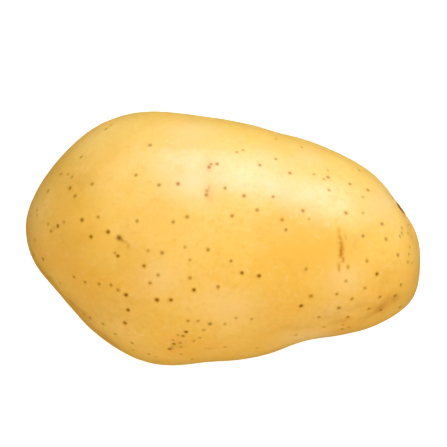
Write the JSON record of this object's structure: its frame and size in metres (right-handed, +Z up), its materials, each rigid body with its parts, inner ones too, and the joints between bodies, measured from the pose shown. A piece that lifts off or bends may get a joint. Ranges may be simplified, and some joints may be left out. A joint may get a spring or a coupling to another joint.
{
  "type": "potato",
  "caption": "Whole raw potato: smooth yellow skin, long lopsided oval with shallow eyes, a stem scar and corky specks, lying on its side.",
  "frame": {"origin": "on the surface the potato lies on, under the middle of its bounding box", "axes": "+X along the tuber towards its narrow stem end, +Z up"},
  "size_m": [0.1108, 0.0708, 0.0605],
  "materials": {
    "skin": "thin smooth potato skin, soft satin, warm yellow with small brown corky specks"
  },
  "bodies": {
    "root": {"tuber": "skin"}
  },
  "joints": []
}
